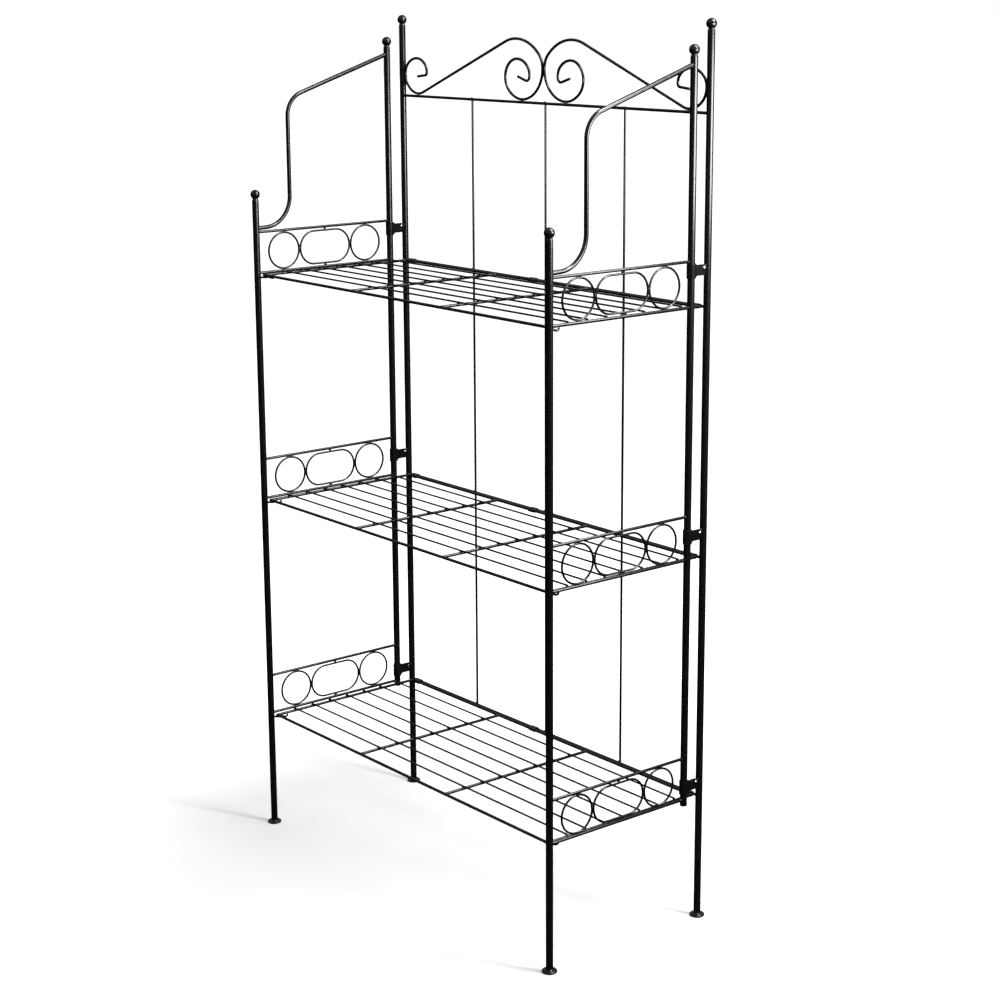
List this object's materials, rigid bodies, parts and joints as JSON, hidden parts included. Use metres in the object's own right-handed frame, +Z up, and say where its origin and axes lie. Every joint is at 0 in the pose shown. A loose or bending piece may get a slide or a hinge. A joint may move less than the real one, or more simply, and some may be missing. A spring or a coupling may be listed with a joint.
{
  "type": "etagere",
  "caption": "Open wire shelving rack with round tube posts, ball finials, ring bands, scroll top and shelves that fold up against the back.",
  "frame": {"origin": "on the floor, under the middle of the frame's box", "axes": "+Z up, +Y towards the back frame, +X towards the right-hand side seen from the front"},
  "size_m": [0.877, 0.375, 1.579],
  "materials": {
    "frame_paint": "satin black powder coat",
    "wire_paint": "satin black powder coat",
    "bolt_steel": "bright zinc-plated bolt"
  },
  "bodies": {
    "back_frame": {"left_back_post": "frame_paint", "right_back_post": "frame_paint", "left_back_finial": "frame_paint", "right_back_finial": "frame_paint", "left_back_foot": "frame_paint", "right_back_foot": "frame_paint", "top_rail": "frame_paint", "left_scroll": "frame_paint", "right_scroll": "frame_paint", "back_rods": "frame_paint", "bottom_cross_rail": "frame_paint", "middle_cross_rail": "frame_paint", "top_cross_rail": "frame_paint", "bottom_shelf_clips": "frame_paint", "middle_shelf_clips": "frame_paint", "top_shelf_clips": "frame_paint", "left_hinge_straps": "frame_paint", "right_hinge_straps": "frame_paint", "left_hinge_bolts": "bolt_steel", "right_hinge_bolts": "bolt_steel"},
    "left_side": {"left_front_post": "frame_paint", "left_rear_post": "frame_paint", "left_front_finial": "frame_paint", "left_rear_finial": "frame_paint", "left_front_foot": "frame_paint", "left_upper_rails": "frame_paint", "left_lower_rails": "frame_paint", "left_bottom_rings": "wire_paint", "left_middle_rings": "wire_paint", "left_top_rings": "wire_paint", "left_brace": "frame_paint", "left_hooks": "wire_paint"},
    "right_side": {"right_front_post": "frame_paint", "right_rear_post": "frame_paint", "right_front_finial": "frame_paint", "right_rear_finial": "frame_paint", "right_front_foot": "frame_paint", "right_upper_rails": "frame_paint", "right_lower_rails": "frame_paint", "right_bottom_rings": "wire_paint", "right_middle_rings": "wire_paint", "right_top_rings": "wire_paint", "right_brace": "frame_paint", "right_hooks": "wire_paint"},
    "bottom_shelf": {"bottom_front_rod": "frame_paint", "bottom_rear_rod": "frame_paint", "bottom_end_rods": "frame_paint", "bottom_cross_rods": "frame_paint", "bottom_wires": "wire_paint"},
    "middle_shelf": {"middle_front_rod": "frame_paint", "middle_rear_rod": "frame_paint", "middle_end_rods": "frame_paint", "middle_cross_rods": "frame_paint", "middle_wires": "wire_paint"},
    "top_shelf": {"top_front_rod": "frame_paint", "top_rear_rod": "frame_paint", "top_end_rods": "frame_paint", "top_cross_rods": "frame_paint", "top_wires": "wire_paint"}
  },
  "joints": [
    {"name": "left_side_swing", "type": "hinge", "parent": "back_frame", "child": "left_side", "pos_m": [-0.425, 0.136, 0.7], "axis": [0, 0, -1], "range_deg": [0, 90]},
    {"name": "right_side_swing", "type": "hinge", "parent": "back_frame", "child": "right_side", "pos_m": [0.425, 0.136, 0.7], "axis": [0, 0, 1], "range_deg": [0, 90]},
    {"name": "bottom_shelf_fold", "type": "hinge", "parent": "back_frame", "child": "bottom_shelf", "pos_m": [0, 0.1672, 0.228], "axis": [-1, 0, 0], "range_deg": [0, 90]},
    {"name": "middle_shelf_fold", "type": "hinge", "parent": "back_frame", "child": "middle_shelf", "pos_m": [0, 0.1672, 0.6655], "axis": [-1, 0, 0], "range_deg": [0, 90]},
    {"name": "top_shelf_fold", "type": "hinge", "parent": "back_frame", "child": "top_shelf", "pos_m": [0, 0.1672, 1.103], "axis": [-1, 0, 0], "range_deg": [0, 90]}
  ]
}
